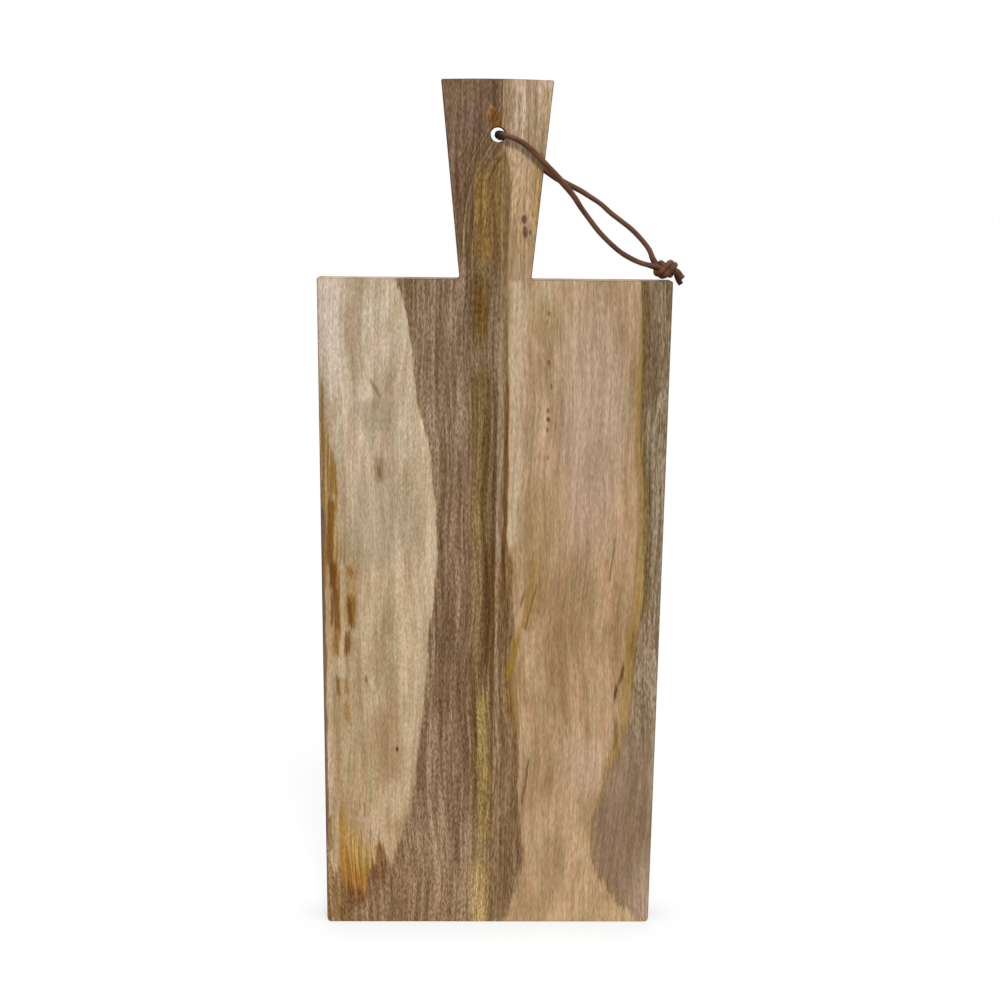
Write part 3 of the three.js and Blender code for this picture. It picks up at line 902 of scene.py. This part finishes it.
def cord_tube(line, lengths):
    """A slightly uneven tube along the cord's line."""
    curve = bpy.data.curves.new("cord_route", "CURVE")
    curve.dimensions = "3D"
    curve.bevel_depth = CORD_DIAMETER / 2
    curve.bevel_resolution = 6
    curve.use_fill_caps = True
    spline = curve.splines.new("POLY")
    spline.points.add(len(line) - 1)
    for spot, place, length in zip(spline.points, line, lengths):
        spot.co = (*place, 1)
        unevenness = CORD_UNEVENNESS * noise.noise(Vector((length / UNEVEN_EVERY, 0, 0)))
        spot.radius = swelling(place) + unevenness
    route = bpy.data.objects.new("cord_route", curve)
    mesh = bpy.data.meshes.new_from_object(route)
    bpy.data.objects.remove(route)
    bpy.data.curves.remove(curve)
    return mesh


def mark_leather(mesh, lengths):
    """Keeps each point's place on the straightened cord, and how much painted shade it takes inside the hole.
    """
    mesh.attributes.new("straight", "FLOAT_VECTOR", "POINT")
    mesh.attributes.new("hole_shade", "FLOAT", "POINT")
    straight = mesh.attributes["straight"]
    hole_shade = mesh.attributes["hole_shade"]
    sides = len(mesh.vertices) // len(lengths)
    radius = CORD_DIAMETER / 2 / MM
    for i, vertex in enumerate(mesh.vertices):
        # Painted shade: full near the hole's axis, fading out before the hole's rim.
        hole_shade.data[i].value = rise(off_axis(vertex.co), 3.6, 2.0)
        turn = 2 * math.pi * (i % sides) / sides
        along = lengths[min(i // sides, len(lengths) - 1)] / MM
        straight.data[i].vector = (along, radius * math.cos(turn), radius * math.sin(turn))


def leather_cord(line, material):
    """The cord as one smooth tube, with the places that its leather needs."""
    lengths = lengths_along(line)
    mesh = cord_tube(line, lengths)
    mark_leather(mesh, lengths)
    for polygon in mesh.polygons:
        polygon.use_smooth = True
    mesh.set_sharp_from_angle(angle=math.radians(60))
    return add_object("leather_cord_loop", mesh, material)


# Stage

CAMERA_PLACE = (-13.87 * MM, -791.43 * MM, 448.91 * MM)
CAMERA_YAW = math.radians(1.311)
CAMERA_PITCH = math.radians(13.023)
CAMERA_ROLL = math.radians(0.724)
CAMERA_LENS = 50.4


def add_camera():
    """The camera as in the photograph: ahead of the board, as high as its handle, looking a little down."""
    data = bpy.data.cameras.new("camera")
    data.lens = CAMERA_LENS
    data.sensor_width = 36
    data.clip_start = 0.01
    camera = bpy.data.objects.new("camera", data)
    turn = Matrix.Rotation(-CAMERA_YAW, 4, "Z")
    tilt = Matrix.Rotation(math.pi / 2 - CAMERA_PITCH, 4, "X")
    roll = Matrix.Rotation(CAMERA_ROLL, 4, "Z")
    camera.matrix_world = Matrix.Translation(CAMERA_PLACE) @ turn @ tilt @ roll
    bpy.context.scene.collection.objects.link(camera)
    bpy.context.scene.camera = camera


def seen_directly(tree):
    """1 on a ray from the camera or from a mirror or glass, and 0 in the light that falls on things."""
    path = tree.nodes.new("ShaderNodeLightPath")
    seen = path.outputs["Is Camera Ray"]
    for other in ("Is Glossy Ray", "Is Transmission Ray"):
        either = tree.nodes.new("ShaderNodeMath")
        either.operation = "MAXIMUM"
        tree.links.new(seen, either.inputs[0])
        tree.links.new(path.outputs[other], either.inputs[1])
        seen = either.outputs[0]
    return seen


AMBIENT = 0.17
FLOOR_GLOW = 0.8
FLOOR_GLOW_STRENGTH = 1.08
FLOOR_GREY = (0.65, 0.65, 0.65, 1)
# Painted contact shadow: how near to the board the floor's glow dims, and the least share left of it, ahead
# of the board and behind.
CONTACT_REACH = 28 * MM
GLOW_AHEAD = 0.78
GLOW_BEHIND = 0.4
FLOOR_SIZE = 80.0


def add_world():
    """White where it is seen, and an even soft light on everything."""
    world = bpy.data.worlds.new("studio")
    world.use_nodes = True
    bpy.context.scene.world = world
    tree = world.node_tree
    background = tree.nodes["Background"]
    background.inputs["Color"].default_value = (1, 1, 1, 1)
    strength = tree.nodes.new("ShaderNodeMapRange")
    strength.inputs["To Min"].default_value = AMBIENT
    strength.inputs["To Max"].default_value = 1.0
    tree.links.new(seen_directly(tree), strength.inputs["Value"])
    tree.links.new(strength.outputs[0], background.inputs["Strength"])


def floor_glow(finish):
    """Strength of the floor's glow, dimmed close to the board as a painted contact shadow, most behind it."""
    place = finish.add("ShaderNodeTexCoord", {})["Object"]
    depth = finish.add("ShaderNodeSeparateXYZ", {0: place})[1]
    ahead = FLOOR_GLOW_STRENGTH * GLOW_AHEAD
    behind = FLOOR_GLOW_STRENGTH * GLOW_BEHIND
    least = finish.add("ShaderNodeMapRange", {0: depth, 1: FRONT, 2: BACK, 3: ahead, 4: behind})[0]
    open_sky = finish.add("ShaderNodeAmbientOcclusion", {"Distance": CONTACT_REACH}, samples=8)["AO"]
    return finish.add("ShaderNodeMapRange", {0: open_sky, 3: least, 4: FLOOR_GLOW_STRENGTH})[0]


def pale_floor():
    """Pale floor that glows to white where it is seen and still takes the board's shadow, with a painted
    contact shadow dimming its glow near the board.
    """
    finish = Finish("pale_floor")
    finish.surface.inputs["Base Color"].default_value = FLOOR_GREY
    finish.surface.inputs["Roughness"].default_value = 0.9
    finish.surface.inputs["Specular IOR Level"].default_value = 0.0
    glow = finish.add("ShaderNodeEmission", {"Strength": floor_glow(finish)})[0]
    share = finish.math("MULTIPLY", seen_directly(finish.tree), FLOOR_GLOW)
    mix = finish.add("ShaderNodeMixShader", {0: share, 1: finish.surface.outputs[0], 2: glow})[0]
    finish.feed(finish.tree.nodes["Material Output"].inputs["Surface"], mix)
    return finish.material


def add_floor():
    bm = bmesh.new()
    bmesh.ops.create_grid(bm, x_segments=1, y_segments=1, size=FLOOR_SIZE / 2)
    mesh = bpy.data.meshes.new("floor")
    bm.to_mesh(mesh)
    bm.free()
    add_object("floor", mesh, pale_floor())


KEY_STRENGTH = 3.15
FILL_STRENGTH = 0.5


def add_lamp(name, strength, elevation, side, angle):
    """One far soft lamp: its height, its turn right of the board's front, and its width, all in degrees."""
    data = bpy.data.lights.new(name, "SUN")
    data.angle = math.radians(angle)
    data.energy = strength
    lamp = bpy.data.objects.new(name, data)
    level = math.cos(math.radians(elevation))
    turn = math.radians(side)
    towards = Vector((level * math.sin(turn), -level * math.cos(turn), math.sin(math.radians(elevation))))
    lamp.location = towards
    lamp.rotation_euler = towards.to_track_quat("Z", "Y").to_euler()
    bpy.context.scene.collection.objects.link(lamp)


def set_stage():
    bpy.context.scene.view_settings.view_transform = "Standard"
    add_camera()
    add_world()
    add_floor()
    add_lamp("key", KEY_STRENGTH, elevation=58, side=8, angle=11)
    add_lamp("back_fill", FILL_STRENGTH, elevation=35, side=180, angle=60)


def dress_cord():
    line = smooth_line(cord_points(), 8)
    cord = leather_cord(line, leather())
    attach(cord, "hanging_loop")
    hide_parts("leather_cord")


def dress_staves():
    for name, side, outer, material in (
        ("left_stave", -1, LEFT_LOW.x, left_stave_wood()),
        ("right_stave", 1, RIGHT_HIGH.x, right_stave_wood()),
    ):
        piece = stave(name + "_board", side, outer, material)
        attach(piece, "board")
        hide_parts(name)


def main():
    set_stage()
    dress_cord()
    dress_staves()


main()
